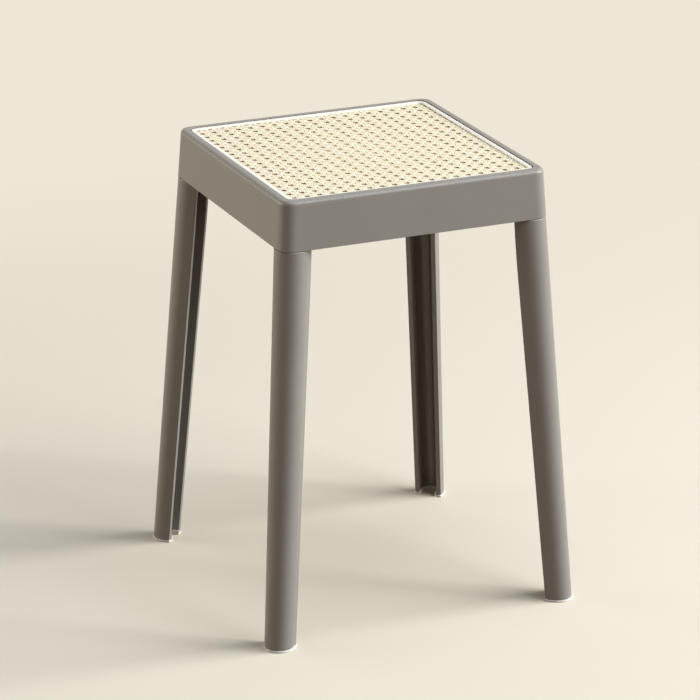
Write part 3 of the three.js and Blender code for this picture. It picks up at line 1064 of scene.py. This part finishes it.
# %% Cut the strands at the border and sweep their section
outside = maths(tree, "GREATER_THAN", maths(tree, "MAXIMUM", off_x, off_y), given["Clip half"])
strands = result(put(tree, "GeometryNodeDeleteGeometry", strands, outside, domain="POINT"))
strands = result(put(tree, "GeometryNodeSetCurveNormal", strands, mode="Z_UP"))
oval = result(put(tree, "GeometryNodeCurvePrimitiveCircle", cane_profile_points, 1.0))
oval_place = put(tree, "ShaderNodeSeparateXYZ", position)
across = oval_place.outputs["X"]
oval = result(put(tree, "GeometryNodeStoreNamedAttribute", oval, None, "across", across))
half_width = maths(tree, "MULTIPLY", given["Width"], 0.5)
half_thickness = maths(tree, "MULTIPLY", given["Thickness"], 0.5)
size = result(put(tree, "ShaderNodeCombineXYZ", half_width, half_thickness, 1.0))
oval = result(put(tree, "GeometryNodeTransform", oval, (0, 0, 0), (0, 0, 0), size))
swept = put(tree, "GeometryNodeCurveToMesh", strands, oval)
swept.inputs["Fill Caps"].default_value = True
smooth = put(tree, "GeometryNodeSetShadeSmooth", result(swept))
print("woven strands:", len(tree.nodes), "nodes")

# %% [markdown]
# ## Finish 3: cane
#
# The strands are a warm cream with a satin skin. Up close each has fine fibres along it, and
# no two strands have quite the same hue. The tree stored where each point lies along and across
# its strand, and a number per strand. The finish reads these, so the fibres follow the weave.

# %% Cream strands with fibres
fibres_per_metre = 55.0
fibres_across = 3.2
strands_apart = 170.0
fibre_detail = 5.0
fibre_roughness = 0.62
fibre_share = 0.75
strand_share = 0.3
cane_tones = (0.28, 0.78)
fibre_span = (0.3, 0.7)
cane_gloss = (0.48, 0.62)
cane_specular = 0.3
fibre_depth = 0.05 * mm

cream, paint, shader = start_finish("cream cane")
along = put(paint, "ShaderNodeAttribute", attribute_name="along").outputs["Fac"]
across = put(paint, "ShaderNodeAttribute", attribute_name="across").outputs["Fac"]
strand_tint = put(paint, "ShaderNodeAttribute", attribute_name="tint").outputs["Fac"]
lengthwise = maths(paint, "MULTIPLY", along, fibres_per_metre)
crosswise = maths(paint, "MULTIPLY", across, fibres_across)
apart = maths(paint, "MULTIPLY", strand_tint, strands_apart)
fibre_place = result(put(paint, "ShaderNodeCombineXYZ", lengthwise, crosswise, apart))
fibre_kind = (1.0, fibre_detail, fibre_roughness)
fibres = result(put(paint, "ShaderNodeTexNoise", fibre_place, *fibre_kind))
strand_tone = maths(paint, "MULTIPLY", strand_tint, strand_share)
tone = maths(paint, "MULTIPLY_ADD", fibres, fibre_share, strand_tone)
hue = ramp(paint, tone, cane_tones, linear(238, 223, 190), linear(243, 233, 210))
rough = put(paint, "ShaderNodeMapRange", fibres, *fibre_span, *cane_gloss)
ridges = put(paint, "ShaderNodeBump", 1.0, fibre_depth, None, fibres)
plug_in(shader, hue, result(rough), result(ridges))
shader.inputs["Specular IOR Level"].default_value = cane_specular
end_tree(tree, result(smooth), cream)

# %% Sizes of the weave
pitch = Vector((13.1, 12.99)) * mm
hole = Vector((-3.05, -1.8)) * mm
web_turn = 0.0086
crossing = hole + pitch / 2
strand_width = 3.8 * mm
diagonal_width = 3.6 * mm
strand_thickness = 0.2 * mm
pair_spread = 2.35 * mm
swing = 0.13 * mm
sag = 0.45 * mm
samples_per_wave = 10
clip_gap = 0.05 * mm
clip_half = web_half - clip_gap
board_gap = 0.02 * mm
web_edge_middle = web_low.z + swing + strand_thickness / 2 + sag + board_gap
diagonal = math.atan2(pitch.y, pitch.x)
reach = 2 * web_half
slant_reach = reach * math.sqrt(2)
print(f"web {reach / mm:.1f} mm square, {reach / pitch.x:.1f} holes a side")


# %% Lay one set
def lay(name, seed, turn, origin, spacing, wave, values):
    """A set of strands: turn and origin place it, and wave says along what it rises and falls."""
    per_group = values["Strands per group"]
    groups = math.ceil((reach if per_group == 2 else slant_reach) / spacing) + 2
    heading = Vector((math.cos(turn), math.sin(turn), 0))
    step = wave["length"] / abs(heading @ wave["axis"]) / samples_per_wave
    run = slant_reach if per_group == 1 else reach + spacing
    strands = add_piece(name, [(0, 0, 0)], [])
    skew = Matrix.Rotation(web_turn, 3, "Z")
    settings = {
        "Strands": groups * per_group,
        "Group spacing": spacing,
        "First group": -spacing * (groups // 2),
        "Samples": math.ceil(run / step),
        "Sample step": step,
        "Turn": turn + web_turn,
        "Origin": skew @ Vector((*origin, web_edge_middle)),
        "Wave axis": skew @ wave["axis"],
        "Wave length": wave["length"],
        "Wave start": wave["start"],
        "Thickness": strand_thickness,
        "Clip half": clip_half,
        "Sag": sag,
        "Seed": seed,
    }
    grow(strands, tree, {**settings, **values})
    triangles = sum(len(face.vertices) - 2 for face in strands.data.polygons)
    low = min(vertex.co.z for vertex in strands.data.vertices)
    high = max(vertex.co.z for vertex in strands.data.vertices)
    print(f"{name}: {triangles} triangles, {low / mm:.2f} to {high / mm:.2f} mm high")
    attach(strands, "root")
    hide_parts("cane_webbing")
    return strands


# %% Lay the pairs
x_axis = Vector((1, 0, 0))
y_axis = Vector((0, 1, 0))
first_swing = -0.85 * swing
second_swing = -0.27 * swing
pair = {
    "Strands per group": 2,
    "Spread": pair_spread,
    "Width": strand_width,
    "Swing": first_swing,
    "Second swing": second_swing,
}
wave = {"axis": x_axis, "length": pitch.x, "start": crossing.x}
lay("cane_crosswise", 1, 0, (0, crossing.y), pitch.y, wave, pair)
wave = {"axis": y_axis, "length": pitch.y, "start": crossing.y}
lay("cane_lengthwise", 2, math.pi / 2, (crossing.x, 0), pitch.x, wave, pair)

# %% Lay the diagonals
meeting = Vector((crossing.x, hole.y))
single = {"Strands per group": 1, "Spread": 0.0, "Width": diagonal_width, "Second swing": 0.0}
across_diagonal = pitch.x * math.sin(diagonal)
wave = {"axis": x_axis, "length": pitch.x, "start": meeting.x - pitch.x / 4}
lay("cane_diagonal_a", 3, -diagonal, meeting, across_diagonal, wave, {**single, "Swing": -swing})
lay("cane_diagonal_b", 4, diagonal, meeting, across_diagonal, wave, {**single, "Swing": swing})

# %% [markdown]
# ## Finish 4: what stays as CAD solids
#
# The board under the web and the screws under the insert already have the right shape, so
# their CAD solids stay, and only get a finish. The board is tan, matched to the colour that
# shows in the web's holes, with a fine grain. The screws are zinc-plated steel.

# %% Tan board
board_grain_kind = (900.0, 6.0, 0.7)
board_cloud_kind = (60.0, 3.0, 0.6)
board_grain_share = 0.7
board_tones = (0.32, 0.68)
board_roughness = 0.82
board_grain_depth = 0.04 * mm

board_finish, paint, shader = start_finish("tan board")
spot = put(paint, "ShaderNodeTexCoord").outputs["Object"]
fibres = result(put(paint, "ShaderNodeTexNoise", spot, *board_grain_kind))
clouds = result(put(paint, "ShaderNodeTexNoise", spot, *board_cloud_kind))
cloud_tone = maths(paint, "MULTIPLY", clouds, 1 - board_grain_share)
tone = maths(paint, "MULTIPLY_ADD", fibres, board_grain_share, cloud_tone)
# Tan, matched to the colour that shows through the web's holes; the shade in the holes comes from the
# lamps.
hue = ramp(paint, tone, board_tones, linear(236, 197, 150), linear(252, 228, 188))
shader.inputs["Roughness"].default_value = board_roughness
board_grain_bump = put(paint, "ShaderNodeBump", 1.0, board_grain_depth, None, fibres)
plug_in(shader, hue, normal=result(board_grain_bump))
print("tan board:", len(paint.nodes), "nodes")

# %% Zinc plating
zinc_kind = (700.0, 4.0, 0.6)
zinc_tones = (0.0, 1.0)
zinc_span = (0.3, 0.7)
zinc_gloss = (0.28, 0.42)

zinc, paint, shader = start_finish("zinc-plated steel")
spot = put(paint, "ShaderNodeTexCoord").outputs["Object"]
cloud = result(put(paint, "ShaderNodeTexNoise", spot, *zinc_kind))
hue = ramp(paint, cloud, zinc_tones, linear(168, 172, 178), linear(205, 206, 204))
rough = put(paint, "ShaderNodeMapRange", cloud, *zinc_span, *zinc_gloss)
plug_in(shader, hue, result(rough))
shader.inputs["Metallic"].default_value = 1.0

# %% Give them to the solids that stay
for name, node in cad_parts.items():
    if name == "backing_board" or name.startswith("leg_screw"):
        node.data.materials.clear()
        node.data.materials.append(board_finish if name == "backing_board" else zinc)
shown = sorted(name for name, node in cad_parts.items() if not node.hide_render)
print("CAD solids that show:", shown)

# %% [markdown]
# ## The stage
#
# The floor is plain and pale. What the camera sees is its pale colour, but what it throws back
# on the stool is a warm mid tone, so that the sides near the floor don't glow. Near the stool the
# floor is lit, so that it carries the shadow. Farther off it passes into an even backdrop, which
# keeps the picture plain from every side. Four large soft lamps light the stool: a key to the
# right, a weaker one in front of it and higher, a warm low one behind on the left, and a cool
# one overhead. A dim warm sky fills the rest.

# %% What is shown and what is thrown back
def seen_directly(paint):
    """1 on rays from the camera, and on mirrored and bent ones, else 0."""
    rays = put(paint, "ShaderNodeLightPath").outputs
    seen = maths(paint, "MAXIMUM", rays["Is Camera Ray"], rays["Is Glossy Ray"])
    return maths(paint, "MAXIMUM", seen, rays["Is Transmission Ray"])


def two_colours(paint, seen, thrown, shown):
    """The colour that is thrown back on the stool, or the one that is shown where seen is 1."""
    return result(put(paint, "ShaderNodeMix", seen, (*thrown, 1), (*shown, 1), data_type="RGBA"))


backdrop_colour = linear(238, 231, 215)

# %% Floor
floor_thrown = linear(104, 82, 60)
floor_shown = linear(227, 218, 201)
floor_roughness = 0.9
floor_half = 9.0
lit_radius = 0.55
backdrop_radius = 1.5
floor_corners = [(x * floor_half, y * floor_half, 0) for x, y in ((-1, -1), (1, -1), (1, 1), (-1, 1))]
floor = add_piece("floor", floor_corners, [(0, 1, 2, 3)])
floor_finish, paint, shader = start_finish("pale floor")
seen = seen_directly(paint)
plug_in(shader, two_colours(paint, seen, floor_thrown, floor_shown))
shader.inputs["Roughness"].default_value = floor_roughness
shader.inputs["Specular IOR Level"].default_value = 0.0
spot = put(paint, "ShaderNodeTexCoord").outputs["Object"]
off = put(paint, "ShaderNodeVectorMath", spot, operation="LENGTH").outputs["Value"]
fading = (off, lit_radius, backdrop_radius)
far = put(paint, "ShaderNodeMapRange", *fading, interpolation_type="SMOOTHSTEP")
backdrop = put(paint, "ShaderNodeEmission", (*backdrop_colour, 1), 1.0)
passing = maths(paint, "MULTIPLY", seen, result(far))
ground = put(paint, "ShaderNodeMixShader", passing, shader.outputs["BSDF"], result(backdrop))
paint.links.new(result(ground), paint.nodes["Material Output"].inputs["Surface"])
floor.data.materials.append(floor_finish)
print("floor lit to", lit_radius, "m, backdrop from", backdrop_radius, "m")

# %% Sky
sky_thrown = (0.13, 0.112, 0.09)

world = bpy.data.worlds.new("pale sky")
bpy.context.scene.world = world
world.use_nodes = True
paint = world.node_tree
sky = paint.nodes["Background"]
hue = two_colours(paint, seen_directly(paint), sky_thrown, backdrop_colour)
paint.links.new(hue, sky.inputs["Color"])
bpy.context.scene.view_settings.view_transform = "Standard"


# %% Lamps
def add_lamp(name, azimuth, elevation, distance, size, power, colour):
    """A soft lamp that looks at the stool. Azimuth is counted as the camera's is."""
    lamp = bpy.data.objects.new(name, bpy.data.lights.new(name, "AREA"))
    lamp.data.shape = "RECTANGLE"
    lamp.data.size = size[0]
    lamp.data.size_y = size[1]
    lamp.data.energy = power
    lamp.data.color = colour
    turn = math.radians(azimuth)
    rise = math.radians(elevation)
    level = Vector((-math.sin(turn), -math.cos(turn), 0))
    away = level * math.cos(rise) + Vector((0, 0, math.sin(rise)))
    sideways = Vector((math.cos(turn), -math.sin(turn), 0))
    axes = Matrix((sideways, away.cross(sideways), away)).transposed()
    lamp.matrix_world = Matrix.Translation(camera_target + away * distance) @ axes.to_4x4()
    bpy.context.scene.collection.objects.link(lamp)
    print(f"{name} lamp: {power} W, {distance} m away, {elevation} degrees up")


cool = (0.95, 0.98, 1.0)
softly_cool = (0.96, 0.98, 1.0)
warm = (1.0, 0.96, 0.79)
blue = (0.66, 0.8, 1.0)
add_lamp("key", -70, 22, distance=6.0, size=(3.6, 3.6), power=506, colour=cool)
add_lamp("front", -40, 45, distance=6.0, size=(3.2, 3.2), power=150, colour=softly_cool)
add_lamp("left", 124, 8, distance=6.0, size=(4.4, 1.8), power=168, colour=warm)
add_lamp("top", -20, 84, distance=5.0, size=(3.0, 3.0), power=80, colour=blue)
